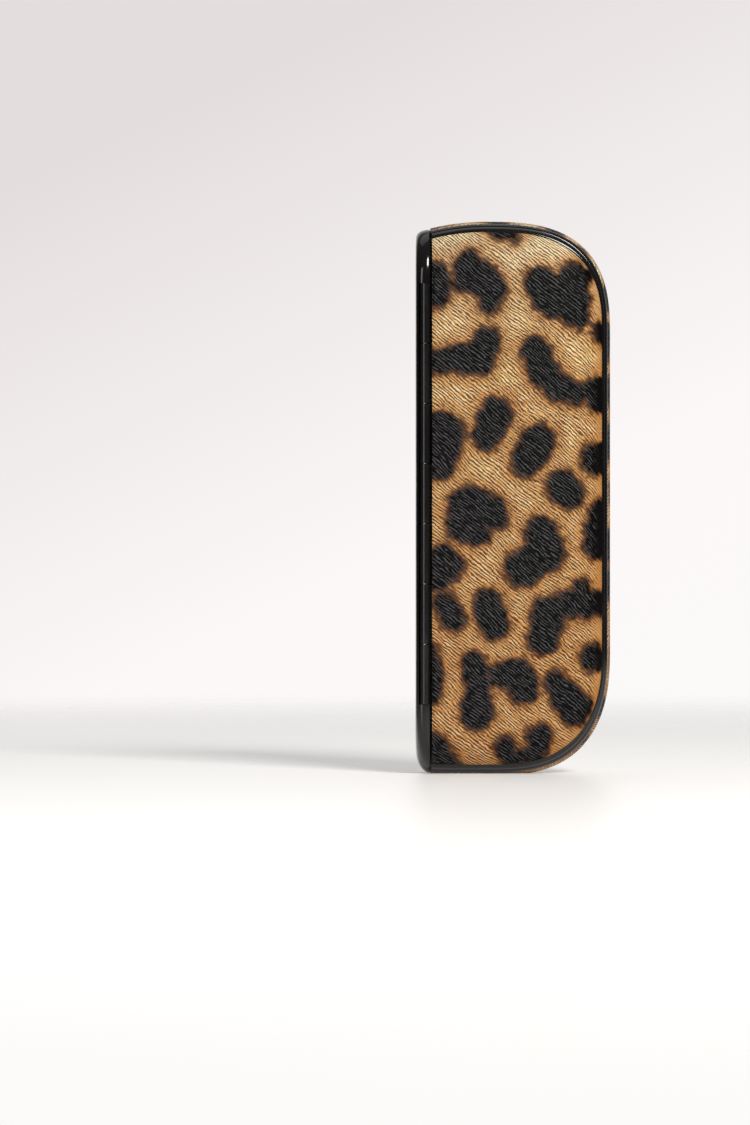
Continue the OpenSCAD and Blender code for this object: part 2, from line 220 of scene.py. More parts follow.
# ---- Leopard spots, as rows of discs (x, z, radius) on the lid, seen from the front ----
LID_SPOTS = [
    [(-16.4, 103.5, 2.4), (-16.2, 99.5, 2.4)],
    [(-9.3, 105.3, 2.7), (-10.3, 102.5, 2.2)], [(-6.8, 102.6, 3.3), (-4.8, 100.3, 2.6), (-5.2, 97.3, 1.7)],
    [(-4.0, 112.8, 1.1), (-0.4, 111.8, 1.1)],
    [(5.6, 101.6, 3.0), (8.3, 98.8, 3.6), (11.8, 97.5, 3.4), (13.2, 94.6, 1.9)], [(12.6, 102.4, 3.2)],
    [(-17.0, 85.7, 2.1), (-11.0, 86.2, 2.1), (-7.5, 86.3, 3.0), (-5.8, 89.8, 2.4)],
    [(4.4, 87.6, 2.6), (6.0, 83.5, 2.3), (9.0, 80.3, 2.2), (13.0, 78.6, 1.8)], [(18.5, 79.0, 3.6)],
    [(19.0, 91.5, 2.2)],
    [(-14.8, 70.8, 4.0), (-15.6, 65.0, 3.5)],
    [(-3.7, 74.6, 3.1), (-5.6, 70.5, 2.8)],
    [(5.0, 69.0, 3.1), (2.6, 64.8, 2.8)],
    [(10.2, 59.6, 3.1), (11.3, 58.0, 2.6)],
    [(17.4, 65.4, 3.1)],
    [(-9.3, 55.4, 4.1), (-5.0, 54.2, 3.3)], [(-10.8, 51.6, 2.9), (-7.4, 49.8, 2.1)],
    [(18.6, 54.5, 2.5), (18.2, 48.5, 3.7)],
    [(5.6, 50.0, 3.0), (6.6, 46.0, 3.3), (1.6, 42.6, 3.3)],
    [(-14.6, 43.3, 3.7), (-16.5, 41.0, 3.0)],
    [(-14.6, 35.6, 1.8), (-12.7, 32.4, 2.3)],
    [(-5.4, 35.0, 2.8), (-4.2, 31.0, 2.7)],
    [(7.2, 33.6, 3.0), (6.0, 28.0, 2.8)],
    [(12.0, 35.2, 2.6), (17.5, 35.2, 2.4)], [(14.0, 38.6, 1.5)],
    [(16.6, 24.1, 2.6)],
    [(-17.3, 25.0, 1.5), (-16.6, 17.0, 1.5)],
    [(-8.4, 22.6, 2.3), (-7.4, 18.6, 1.8), (-7.8, 12.7, 3.1)],
    [(-3.5, 20.7, 1.6), (0.3, 20.4, 3.0), (2.0, 17.4, 2.5)],
    [(8.6, 19.1, 2.0), (12.4, 13.9, 3.4)],
    [(5.1, 7.6, 2.3), (4.6, 3.9, 1.2), (-1.0, 3.0, 1.1), (-1.9, 5.7, 1.8)],
    [(-16.9, 5.3, 2.8), (-14.6, 3.0, 1.9), (-12.6, 1.4, 1.3)],
]
# The same on the spine, as (y, z, radius)
SPINE_SPOTS = [
    [(-0.5, 107.0, 1.8), (-3.0, 102.0, 3.0), (-1.5, 97.0, 2.4), (-7.5, 98.0, 2.2)], [(7.6, 106.0, 1.7)],
    [(7.0, 92.0, 2.6), (6.2, 87.0, 2.8)], [(-2.0, 84.5, 3.2), (-5.5, 81.5, 2.9)],
    [(6.5, 71.5, 2.8), (1.5, 69.5, 3.4), (-1.0, 67.5, 2.4)], [(-8.0, 65.0, 2.6)],
    [(3.6, 56.0, 3.0), (-0.5, 55.0, 3.2)], [(8.0, 48.5, 2.0)],
    [(4.0, 38.0, 2.0), (3.2, 46.0, 2.2), (-2.0, 49.5, 2.2), (-5.8, 46.0, 2.4)], [(-5.4, 36.0, 3.0)],
    [(8.0, 28.0, 2.0), (3.0, 22.5, 2.6), (-2.5, 17.5, 2.7), (-6.8, 13.0, 2.0)], [(-8.2, 26.5, 1.5)],
    [(4.5, 13.0, 2.6)], [(-3.0, 4.5, 2.6), (-6.8, 4.8, 2.4)], [(7.0, 4.5, 2.0)],
]


def scattered_spots(seed, x0, x1, z0, z1, apart=8.6):
    """Blotches of two to four discs each, spread evenly over a rectangle of leather."""
    rng = random.Random(seed)
    middles, spots = [], []
    for _ in range(6000):
        c = (rng.uniform(x0, x1), rng.uniform(z0, z1))
        if all(math.hypot(c[0] - m[0], c[1] - m[1]) > apart for m in middles):
            middles.append(c)
    for cx, cz in middles:
        turn, row = rng.uniform(0, math.pi), []
        for k in range(rng.choice([1, 2, 2, 3])):
            turn += rng.uniform(-0.9, 0.9)
            row.append((cx, cz, rng.uniform(1.9, 3.3)))
            cx, cz = cx + 3.3 * math.cos(turn), cz + 3.3 * math.sin(turn)
        spots.append(row)
    return spots


def spot_distance(u, v, spots):
    """Distance in mm to the nearest spot's edge, less than zero inside. A row of discs joins up smoothly."""
    soft = 0.45
    total = np.zeros_like(u)
    for row in spots:
        links = zip(row, row[1:]) if len(row) > 1 else [(row[0], row[0])]
        for (ax, az, ar), (bx, bz, br) in links:
            length = (bx - ax) ** 2 + (bz - az) ** 2
            t = np.clip(((u - ax) * (bx - ax) + (v - az) * (bz - az)) / max(length, 1e-9), 0, 1)
            d = np.hypot(u - ax - t * (bx - ax), v - az - t * (bz - az)) - (ar + t * (br - ar))
            total += np.exp(-np.clip(d, -8, 12) / soft)
    return -soft * np.log(np.maximum(total, 1e-12))


def mark_leather(piece, hide, seen, spots):
    """Stores each point's place on the flat hide and how far it is from the spots."""
    place = piece.data.attributes.new("hide_mm", "FLOAT_VECTOR", "POINT")
    place.data.foreach_set("vector", hide.astype(np.float32).ravel())
    reach = piece.data.attributes.new("spot_mm", "FLOAT", "POINT")
    reach.data.foreach_set("value", spot_distance(seen[:, 0], seen[:, 1], spots).astype(np.float32))


def leather_piece(name, points, faces, hide, seen, spots, weld=True):
    """A printed leather piece, from points in millimetres with their places on the hide."""
    mesh = bpy.data.meshes.new(name)
    mesh.from_pydata([tuple(c * MM for c in p) for p in points], [], faces)
    piece = bpy.data.objects.new(name, mesh)
    bpy.context.collection.objects.link(piece)
    mesh.materials.append(LEATHER)
    mark_leather(piece, hide, seen, spots)
    work = bmesh.new()
    work.from_mesh(mesh)
    if weld:
        bmesh.ops.remove_doubles(work, verts=work.verts, dist=2e-6)
    bmesh.ops.recalc_face_normals(work, faces=work.faces)
    work.to_mesh(mesh)
    work.free()
    mesh.shade_smooth()
    mesh.set_sharp_from_angle(angle=math.radians(LEATHER_CREASE))
    return piece


# ---- Materials ----
def new_material(name):
    material = bpy.data.materials.new(name)
    material.use_nodes = True
    tree = material.node_tree
    return material, tree, tree.nodes["Principled BSDF"]


def link(tree, a, b):
    tree.links.new(a, b)


def math_node(tree, kind, a, b=None, clamp=False):
    node = tree.nodes.new("ShaderNodeMath")
    node.operation, node.use_clamp = kind, clamp
    for i, v in enumerate([a, b]):
        if v is None:
            continue
        if isinstance(v, (int, float)):
            node.inputs[i].default_value = v
        else:
            link(tree, v, node.inputs[i])
    return node.outputs[0]


def ramp(tree, value, low, high, from_low=0.0, from_high=1.0, smooth=True):
    node = tree.nodes.new("ShaderNodeMapRange")
    node.interpolation_type = "SMOOTHSTEP" if smooth else "LINEAR"
    for i, v in enumerate([None, from_low, from_high, low, high]):
        if v is not None:
            node.inputs[i].default_value = v
    link(tree, value, node.inputs[0])
    return node.outputs[0]


def mix_colour(tree, amount, a, b):
    node = tree.nodes.new("ShaderNodeMix")
    node.data_type = "RGBA"
    for socket, v in ((node.inputs[0], amount), (node.inputs[6], a), (node.inputs[7], b)):
        if isinstance(v, tuple):
            socket.default_value = (*v, 1)
        elif isinstance(v, (int, float)):
            socket.default_value = v
        else:
            link(tree, v, socket)
    return node.outputs[2]


def noise(tree, vector, scale, detail=2.0, rough=0.5):
    node = tree.nodes.new("ShaderNodeTexNoise")
    node.inputs["Scale"].default_value = scale
    node.inputs["Detail"].default_value = detail
    node.inputs["Roughness"].default_value = rough
    link(tree, vector, node.inputs["Vector"])
    return node.outputs["Fac"]


def stretched(tree, vector, turn, scale):
    """The vector turned in its first two axes by an angle in degrees, then scaled along each axis."""
    turned = tree.nodes.new("ShaderNodeMapping")
    turned.inputs["Rotation"].default_value = (0, 0, math.radians(turn))
    link(tree, vector, turned.inputs["Vector"])
    scaled = tree.nodes.new("ShaderNodeMapping")
    scaled.inputs["Scale"].default_value = scale
    link(tree, turned.outputs[0], scaled.inputs["Vector"])
    return scaled.outputs[0]


def new_group(name, inputs, outputs):
    group = bpy.data.node_groups.new(name, "ShaderNodeTree")
    for label, kind in inputs:
        group.interface.new_socket(label, in_out="INPUT", socket_type=kind)
    for label, kind in outputs:
        group.interface.new_socket(label, in_out="OUTPUT", socket_type=kind)
    return group, group.nodes.new("NodeGroupInput"), group.nodes.new("NodeGroupOutput")


def add_group(tree, group):
    node = tree.nodes.new("ShaderNodeGroup")
    node.node_tree = group
    return node


def along_axis(tree, vector, axis):
    node = tree.nodes.new("ShaderNodeVectorMath")
    node.operation = "DOT_PRODUCT"
    link(tree, vector, node.inputs[0])
    node.inputs[1].default_value = axis
    return node.outputs["Value"]


def centred(tree, value, size):
    return math_node(tree, "MULTIPLY", math_node(tree, "SUBTRACT", value, 0.5), size)


def blend(tree, a, share_a, b, share_b):
    a, b = math_node(tree, "MULTIPLY", a, share_a), math_node(tree, "MULTIPLY", b, share_b)
    return math_node(tree, "ADD", a, b)


def leather_grain_group():
    """Fine wavy ridges that run down to the right across the hide and fade out on the rounded free edge."""
    g, gin, gout = new_group("leather grain", [("Hide", "NodeSocketVector")],
                             [("Ridge", "NodeSocketFloat"), ("Height", "NodeSocketFloat"),
                              ("Smooth", "NodeSocketFloat")])
    hide = gin.outputs["Hide"]
    across = along_axis(g, hide, (0.64, 0.77, 0))
    bend = centred(g, noise(g, hide, 0.065, 1.0), 32.0)
    wave = centred(g, noise(g, stretched(g, hide, GRAIN_TURN, (0.34, 0.6, 1)), 1.0, 1.0), 9.0)
    break_up = centred(g, noise(g, stretched(g, hide, GRAIN_TURN, (0.95, 1.7, 1)), 1.0, 2.0), 5.5)
    phase = math_node(g, "MULTIPLY", across, 2 * math.pi / RIDGE_PITCH)
    for part in (bend, wave, break_up):
        phase = math_node(g, "ADD", phase, part)
    ridge = math_node(g, "ADD", math_node(g, "MULTIPLY", math_node(g, "SINE", phase), 0.5), 0.5)
    patches = noise(g, stretched(g, hide, GRAIN_TURN, (0.6, 1.1, 1)), 1.0, 2.0)
    strength = ramp(g, patches, 0.25, 1.0, 0.34, 0.58)
    tilt = g.nodes.new("ShaderNodeSeparateXYZ")
    link(g, hide, tilt.inputs[0])
    free_side = ramp(g, tilt.outputs["X"], 0, 1, 0.0, 11.0)
    fade = math_node(g, "MULTIPLY", ramp(g, tilt.outputs["Z"], 0, 0.85, 0.12, 0.36), free_side)
    strength = math_node(g, "MULTIPLY", strength, math_node(g, "SUBTRACT", 1.0, fade))
    pores = noise(g, hide, 3.6, 3.0, 0.6)
    mixed = math_node(g, "ADD", math_node(g, "MULTIPLY", centred(g, ridge, 1.0), strength), 0.5)
    link(g, mixed, gout.inputs["Ridge"])
    link(g, math_node(g, "ADD", mixed, math_node(g, "MULTIPLY", pores, 0.22)), gout.inputs["Height"])
    link(g, fade, gout.inputs["Smooth"])
    return g


def leopard_group():
    """Leopard print: black blotches feathered along the grain, with a rusty fringe on a golden ground.
    Painted shade darkens the grain's grooves and painted highlights lighten its crests and the top; on the
    black, the crests carry painted glints.
    """
    g, gin, gout = new_group("leopard print",
                             [("Hide", "NodeSocketVector"), ("Spot", "NodeSocketFloat"),
                              ("Ridge", "NodeSocketFloat"), ("Smooth", "NodeSocketFloat")],
                             [("Color", "NodeSocketColor")])
    hide, spot, ridge = gin.outputs["Hide"], gin.outputs["Spot"], gin.outputs["Ridge"]
    ragged = noise(g, hide, 0.38, 2.0, 0.5)
    feathers = noise(g, stretched(g, hide, GRAIN_TURN, (0.5, 2.0, 1)), 1.0, 3.0, 0.6)
    edge = math_node(g, "ADD", spot, centred(g, ragged, 2.6))
    edge = math_node(g, "ADD", edge, centred(g, feathers, 2.2))
    edge = math_node(g, "ADD", edge, centred(g, ridge, -0.9))
    edge = math_node(g, "SUBTRACT", edge, 0.35)
    black = ramp(g, edge, 1, 0, -0.55, 0.35)
    rust = ramp(g, edge, 1, 0, -0.1, 1.1)
    amber = ramp(g, edge, 1, 0, 0.3, 3.9)
    height = g.nodes.new("ShaderNodeSeparateXYZ")
    link(g, hide, height.inputs[0])
    low = ramp(g, height.outputs["Y"], 0.55, 0.0, 5.0, 100.0, smooth=False)
    warm = ramp(g, noise(g, hide, 0.12, 2.0), 0, 1, 0.4, 0.68)
    warm = math_node(g, "ADD", math_node(g, "MULTIPLY", warm, 0.55), low)
    warm = math_node(g, "ADD", warm, math_node(g, "MULTIPLY", gin.outputs["Smooth"], 0.22), clamp=True)
    ground = mix_colour(g, warm, GOLD, AMBER)
    sunlit = ramp(g, height.outputs["Y"], 0, 0.55, 86.0, 116.0)
    ground = mix_colour(g, sunlit, ground, HIGHLIGHT_CREAM)
    # Painted shade: the ground darkens to umber brown in the grain's grooves.
    groove_shade = mix_colour(g, 0.86, ground, GROOVE_SHADE_BROWN)
    # Painted highlight: the ground lightens to cream on the grain's crests.
    crest_highlight = mix_colour(g, 0.6, ground, HIGHLIGHT_CREAM)
    ground = mix_colour(g, ramp(g, ridge, 0, 1, 0.2, 0.68), groove_shade, ground)
    ground = mix_colour(g, ramp(g, ridge, 0, 0.9, 0.5, 0.95), ground, crest_highlight)
    # The fringe carries painted shade too: umber brown in the grooves, amber on the crests.
    fringe_with_groove_shade = mix_colour(g, ramp(g, ridge, 0.0, 1.0, 0.15, 0.6), GROOVE_SHADE_BROWN, AMBER)
    colour = mix_colour(g, math_node(g, "MULTIPLY", amber, 0.72), ground, fringe_with_groove_shade)
    colour = mix_colour(g, math_node(g, "MULTIPLY", rust, 0.9), colour, RUST)
    # Painted glints: the black spots turn slate grey on the grain's crests.
    black_with_glints = mix_colour(g, ramp(g, ridge, 0, 1, 0.55, 0.95), SOOT, GLINT_GREY)
    colour = mix_colour(g, black, colour, black_with_glints)
    link(g, colour, gout.inputs["Color"])
    return g


def fine_wear_group():
    """Faint smudges and hair scratches for hard glossy surfaces."""
    g, gin, gout = new_group("fine wear", [("Place", "NodeSocketVector")],
                             [("Smudge", "NodeSocketFloat"), ("Height", "NodeSocketFloat")])
    place = gin.outputs["Place"]
    smudge = noise(g, place, 160, 3.0, 0.55)
    grainy = noise(g, place, 2600, 2.0, 0.5)
    link(g, smudge, gout.inputs["Smudge"])
    link(g, blend(g, smudge, 0.6, grainy, 0.4), gout.inputs["Height"])
    return g


RIDGE_PITCH, GRAIN_TURN = 0.58, 40
# The cream is a painted highlight on the grain's crests and toward the top, the umber is painted shade in its
# grooves, and the slate grey is painted glints on the crests of the black spots.
GOLD, AMBER, HIGHLIGHT_CREAM = (0.70, 0.44, 0.165), (0.48, 0.205, 0.055), (0.98, 0.86, 0.58)
GROOVE_SHADE_BROWN, RUST = (0.060, 0.024, 0.009), (0.075, 0.023, 0.009)
SOOT, GLINT_GREY = (0.0014, 0.0009, 0.0009), (0.066, 0.066, 0.067)
GRAIN, LEOPARD, WEAR = leather_grain_group(), leopard_group(), fine_wear_group()


def object_place(tree):
    return tree.nodes.new("ShaderNodeTexCoord").outputs["Object"]


def add_bump(tree, shader, height, distance, strength=1.0):
    bump = tree.nodes.new("ShaderNodeBump")
    bump.inputs["Distance"].default_value = distance
    bump.inputs["Strength"].default_value = strength
    link(tree, height, bump.inputs["Height"])
    link(tree, bump.outputs[0], shader.inputs["Normal"])


def leopard_leather():
    material, tree, shader = new_material("leopard leather")
    where = tree.nodes.new("ShaderNodeAttribute")
    where.attribute_name = "hide_mm"
    reach = tree.nodes.new("ShaderNodeAttribute")
    reach.attribute_name = "spot_mm"
    grain, leopard = add_group(tree, GRAIN), add_group(tree, LEOPARD)
    link(tree, where.outputs["Vector"], grain.inputs["Hide"])
    link(tree, where.outputs["Vector"], leopard.inputs["Hide"])
    link(tree, reach.outputs["Fac"], leopard.inputs["Spot"])
    link(tree, grain.outputs["Ridge"], leopard.inputs["Ridge"])
    link(tree, grain.outputs["Smooth"], leopard.inputs["Smooth"])
    link(tree, leopard.outputs["Color"], shader.inputs["Base Color"])
    link(tree, ramp(tree, grain.outputs["Ridge"], 0.62, 0.36, 0.1, 0.9), shader.inputs["Roughness"])
    shader.inputs["Specular IOR Level"].default_value = 0.07
    add_bump(tree, shader, grain.outputs["Height"], 0.00012)
    return material


def gloss_black(name, rough, tint=(0.006, 0.0055, 0.006), coat=0.0):
    material, tree, shader = new_material(name)
    wear = add_group(tree, WEAR)
    link(tree, object_place(tree), wear.inputs["Place"])
    smudge = wear.outputs["Smudge"]
    link(tree, ramp(tree, smudge, rough * 0.8, rough * 1.35, 0.35, 0.7), shader.inputs["Roughness"])
    link(tree, mix_colour(tree, smudge, tint, tuple(c * 1.7 for c in tint)), shader.inputs["Base Color"])
    shader.inputs["Coat Weight"].default_value = coat
    shader.inputs["Coat Roughness"].default_value = 0.08
    add_bump(tree, shader, wear.outputs["Height"], 0.000008)
    return material


def metal(name, colour, rough, streak=None, bump=0.000006):
    """Bare or plated metal. With a streak, fine brush lines run up and down the piece."""
    material, tree, shader = new_material(name)
    place = object_place(tree)
    if streak:
        stretch = tree.nodes.new("ShaderNodeMapping")
        stretch.inputs["Scale"].default_value = streak
        link(tree, place, stretch.inputs["Vector"])
        lines = noise(tree, stretch.outputs[0], 1.0, 4.0, 0.6)
    else:
        lines = noise(tree, place, 900, 3.0, 0.5)
    smudge = noise(tree, place, 120, 2.0, 0.5)
    link(tree, mix_colour(tree, lines, tuple(c * 0.86 for c in colour), colour), shader.inputs["Base Color"])
    shader.inputs["Metallic"].default_value = 1.0
    both = blend(tree, lines, 0.7, smudge, 0.3)
    link(tree, ramp(tree, both, rough * 0.75, rough * 1.3, 0.3, 0.7), shader.inputs["Roughness"])
    add_bump(tree, shader, lines, bump)
    return material


def flock():
    material, tree, shader = new_material("black flock")
    place = object_place(tree)
    fibres = noise(tree, place, 5200, 2.0, 0.7)
    nap = noise(tree, place, 240, 3.0, 0.6)
    tone = blend(tree, fibres, 0.6, nap, 0.4)
    shade = mix_colour(tree, ramp(tree, tone, 0, 1, 0.3, 0.7), (0.006, 0.0055, 0.0055), (0.032, 0.030, 0.031))
    link(tree, shade, shader.inputs["Base Color"])
    shader.inputs["Roughness"].default_value = 0.95
    shader.inputs["Specular IOR Level"].default_value = 0.15
    shader.inputs["Sheen Weight"].default_value = 0.25
    shader.inputs["Sheen Roughness"].default_value = 0.6
    add_bump(tree, shader, tone, 0.00012)
    return material


def foam():
    material, tree, shader = new_material("mirror foam tape")
    cells = noise(tree, object_place(tree), 2200, 2.0, 0.6)
    link(tree, mix_colour(tree, cells, (0.10, 0.10, 0.105), (0.22, 0.22, 0.225)), shader.inputs["Base Color"])
    shader.inputs["Roughness"].default_value = 0.9
    add_bump(tree, shader, cells, 0.0001)
    return material


def mirror():
    material, tree, shader = new_material("silvered mirror")
    haze = noise(tree, object_place(tree), 60, 2.0, 0.5)
    link(tree, mix_colour(tree, haze, (0.86, 0.88, 0.88), (0.92, 0.93, 0.93)), shader.inputs["Base Color"])
    link(tree, ramp(tree, haze, 0.01, 0.035, 0.4, 0.75), shader.inputs["Roughness"])
    shader.inputs["Metallic"].default_value = 1.0
    return material


LEATHER = leopard_leather()
BEAD_BLACK = gloss_black("gloss black bead", 0.13, (0.0030, 0.0026, 0.0026))
SHELL_BLACK = gloss_black("moulded black shell", 0.42, (0.010, 0.0095, 0.010))
HINGE_BLACK = gloss_black("black plated hinge", 0.17, (0.0050, 0.0045, 0.0045))
STEEL = metal("turned steel", (0.62, 0.61, 0.60), 0.28)
BRUSHED = metal("brushed tweezer steel", (0.66, 0.65, 0.64), 0.27, (5200, 1400, 160), 0.00001)
NICKEL = metal("nickel magnet", (0.70, 0.66, 0.60), 0.2)
FLOCK, FOAM, MIRROR = flock(), foam(), mirror()


# ---- Leather skins, shells and beads ----
def cup_surface(e, y0, sign, left, places, round_count, flat_count, dip=0.0):
    """Rows of points over a cup-shaped skin, from its open edge round to its flat face and across it.
    Gives points, their places on the flat hide, and the number of rows. The third part of a place on the hide
    is how far round the edge it lies, above zero on the lid and below zero on the base."""
    r = EDGE_R - e
    start = np.arcsin(y0 / r) + 0 * places
    angles = np.linspace(start, 0 * places + sign * math.pi / 2, round_count)
    inner_x, inner_z = outline(EDGE_R, left, places)
    outer_x, outer_z = outline(0.0, left, places)
    away = np.stack([outer_x - inner_x, outer_z - inner_z], 1)
    away /= np.maximum(np.linalg.norm(away, axis=1), 1e-6)[:, None]
    points, hide = [], []
    for a in angles:
        edge = abs(a - start) * r
        lower = dip * (1 - smooth_step(edge / 0.55))
        y = (r - lower) * np.sin(a)
        x, z = outline(inset(e + lower, y), left, places)
        points.append(np.stack([x, y, np.maximum(z, 0)], 1))
        reach = EDGE_R * (math.pi / 2 - sign * a)
        hide.append(np.stack([inner_x + away[:, 0] * reach, inner_z + away[:, 1] * reach,
                              -sign * (1 - sign * np.sin(a))], 1))
    ring = points[-1]
    run = np.concatenate([[0], np.cumsum(np.linalg.norm(np.diff(ring[:, [0, 2]], axis=0), axis=1))])
    share = run / run[-1]
    home_z = ring[0, 2] + (ring[-1, 2] - ring[0, 2]) * share
    home = np.stack([np.full_like(share, left), ring[:, 1], home_z], 1)
    for k in range(1, flat_count + 1):
        p = ring + (home - ring) * (k / flat_count)
        points.append(p)
        hide.append(np.stack([p[:, 0], p[:, 2], 0 * p[:, 0]], 1))
    return np.concatenate(points), np.concatenate(hide), round_count + flat_count


def round_left_edge(points, left, sign, dip=0.22, width=0.6):
    """Turns the leather in where it ends at the spine."""
    near = 1 - smooth_step((points[:, 0] - left) / width)
    out = points.copy()
    out[:, 1] -= sign * dip * near
    return out


def leather_skin(name, sign, left, round_count, spots):
    """The leather of the lid (sign -1), printed as seen from the front, or of the base (sign 1)."""
    places = even_places(SKIN_COLUMNS, left)
    y0 = lid_bead_front(places) - SEAM if sign < 0 else BEAD_BACK_Y + SEAM
    top, hide, rows = cup_surface(0.0, y0, sign, left, places, round_count, FLAT_ROWS, 0.24)
    low, _, _ = cup_surface(LEATHER_T, y0, sign, left, places, round_count, FLAT_ROWS)
    seen = top[:, [0, 2]] if sign < 0 else hide
    points = np.concatenate([round_left_edge(top, left, sign), low])
    faces = sheet_faces(rows, SKIN_COLUMNS) + rim_faces(rows, SKIN_COLUMNS)
    hide, seen = np.concatenate([hide, hide]), np.concatenate([seen, seen])
    return leather_piece(name, points, faces, hide, seen, spots)


def shell(name, y0, sign, left, wall, count=150, round_count=14):
    """A moulded shell under the leather. With a wall, it is closed on its spine side."""
    places = even_places(count, left)
    out_e, in_e = LEATHER_T + GLUE, LEATHER_T + GLUE + SHELL_T
    outer, _, rows = cup_surface(out_e, y0, sign, left, places, round_count, 1)
    inner, _, _ = cup_surface(in_e, y0, sign, left + wall, places, round_count, 1)
    faces = sheet_faces(rows, count)
    if wall:
        firsts = [i * count for i in range(round_count)]
        for start in (0, len(outer)):
            for i, k in zip(firsts, firsts[1:]):
                faces.append((start + i, start + k, start + k + count - 1, start + i + count - 1))
        faces.append((0, count - 1, len(outer) + count - 1, len(outer)))
    else:
        faces += rim_faces(rows, count)
    return make_piece(name, np.concatenate([outer, inner]), faces, SHELL_BLACK)


def bead(name, y0, y1, left, count=420):
    """A half-round bead that follows the outline between depths y0 and y1."""
    places = even_places(count, left)
    if y0 == BEAD_FRONT_Y:
        y0 = lid_bead_front(places)
    section = [(LEATHER_T + 0.02, y1), (LEATHER_T + 0.02, y0)]
    for k in range(11):
        t = math.pi * k / 10
        section.append((-BEAD_PROUD * math.sin(t) ** 0.8 + 0.16 * (1 - math.sin(t)) ** 2,
                        (y0 + y1) / 2 - (y1 - y0) / 2 * math.cos(t)))
    rows = []
    for e, y in section:
        x, z = outline(inset(e, y), left, places)
        rows.append(np.stack([x, y + 0 * x, np.maximum(z, 0)], 1))
    m, n = len(section), count
    faces = grid_faces(m, n, closed=True)
    faces += [tuple(i * n for i in range(m)), tuple(i * n + n - 1 for i in reversed(range(m)))]
    return make_piece(name, np.concatenate(rows), faces, BEAD_BLACK)


# ---- Spine ----
def oval_loop(x, e, steps=40):
    """The upright oval section of the case at x, e inside its surface."""
    r = EDGE_R - e
    a = np.linspace(-math.pi / 2, math.pi / 2, steps)
    s = EDGE_R - r * np.cos(a)
    up = np.stack([np.full_like(a, x), r * np.sin(a), top_z(x, s)], 1)
    down = np.stack([np.full_like(a, x), r * np.sin(a), np.maximum(foot_z(x, s), 0)], 1)[::-1]
    return np.concatenate([up, down])


def oval_body(name, sections, material, sharp=40):
    """A closed body through oval sections (x, e), capped at both ends."""
    loops = [oval_loop(x, e) for x, e in sections]
    n = len(loops[0])
    faces = []
    for k in range(len(loops) - 1):
        for j in range(n):
            i = (j + 1) % n
            faces.append((k * n + j, k * n + i, (k + 1) * n + i, (k + 1) * n + j))
    faces += [tuple(range(n)), tuple((len(loops) - 1) * n + j for j in reversed(range(n)))]
    return make_piece(name, np.concatenate(loops), faces, material, sharp)


def cut_away(piece, boxes, sharp=40):
    """Cuts boxes (x0, x1, y0, y1, z0, z1) out of a piece."""
    for x0, x1, y0, y1, z0, z1 in boxes:
        corners = [(x, y, z) for x in (x0, x1) for y in (y0, y1) for z in (z0, z1)]
        tool = make_piece("cutter", corners, [(0, 1, 3, 2), (4, 6, 7, 5), (0, 4, 5, 1), (2, 3, 7, 6),
                                              (0, 2, 6, 4), (1, 5, 7, 3)])
        change = piece.modifiers.new("cut", "BOOLEAN")
        change.operation, change.solver, change.object = "DIFFERENCE", "EXACT", tool
        settle(piece, sharp)
        bpy.data.objects.remove(tool)


def spine_moulding():
    """The gloss moulding round the spine, as (depth from the spine, distance inside the surface)."""
    sections = [
        (0.3, 1.2), (0.05, 1.2), (0.0, 1.12), (0.0, 0.92), (0.08, 0.66), (0.22, 0.44), (0.45, 0.24),
        (0.75, 0.1), (1.1, 0.02), (1.45, 0.0), (2.1, 0.02), (2.5, 0.1), (2.75, 0.2), (2.9, 0.34),
        (2.95, 0.5), (2.95, 0.7), (2.4, 0.7), (1.9, 0.7), (1.4, 0.7)]
    piece = oval_body("spine_moulding", [(SPINE_X + depth, e) for depth, e in sections], BEAD_BLACK)
    cut_away(piece, [(AXIS_X - 1.25, FRAME_X + 1, FRONT_Y - 1, PART_Y, BARREL_Z0, BARREL_Z1)])
    return piece


def spine_inlay():
    """Leather panel on the spine, slightly turned in at its edges."""
    r = EDGE_R - INLAY_E - INLAY_PLAY
    columns, rows = 64, 300
    a = np.linspace(-math.pi / 2, math.pi / 2, columns)
    s = EDGE_R - r * np.cos(a)
    high, low = top_z(SPINE_X, s), np.maximum(foot_z(SPINE_X + 0.001, s), 0)
    y = np.repeat((r * np.sin(a))[None, :], rows, 0)
    t = np.linspace(0, 1, rows)[:, None]
    z = low[None, :] + (high - low)[None, :] * t
    edge = np.minimum(np.minimum(r - np.abs(y), (high[None, :] - z) * 0.9), (z - low[None, :]) * 0.9)
    depth = 0.02 + 0.2 * (1 - smooth_step(edge / 0.6))
    top = np.stack([SPINE_X + depth, y, z], 2).reshape(-1, 3)
    under = top.copy()
    under[:, 0] = SPINE_X + INLAY_T - 0.01
    total = len(top)
    faces = grid_faces(rows, columns)
    faces += [tuple(total + i for i in reversed(f)) for f in faces]
    rim = list(range(columns)) + [i * columns + columns - 1 for i in range(1, rows)]
    rim += [(rows - 1) * columns + j for j in range(columns - 2, -1, -1)]
    rim += [i * columns for i in range(rows - 2, 0, -1)]
    faces += [(i, total + i, total + k, k) for i, k in zip(rim, rim[1:] + rim[:1])]
    hide = np.concatenate([top, top])[:, [1, 2, 0]]
    hide[:, 2] = 0
    points = np.concatenate([top, under])
    return leather_piece("spine_inlay", points, faces, hide, hide, SPINE_SPOTS, weld=False)


# ---- Tweezers ----
# Outline of the blade, as (height above the tips, left edge, right edge)
BLADE = [
    (0, -1.6, 1.6), (1.4, -1.62, 1.6), (14, -2.3, 2.3), (30, -3.4, 3.4), (46, -4.55, 4.55), (54, -4.75, 4.75),
    (62, -4.55, 4.55), (78, -3.7, 3.7), (88, -3.3, 3.3), (92.2, -3.0, 3.0), (94.2, -2.2, 2.2),
    (95, -0.9, 0.9)]


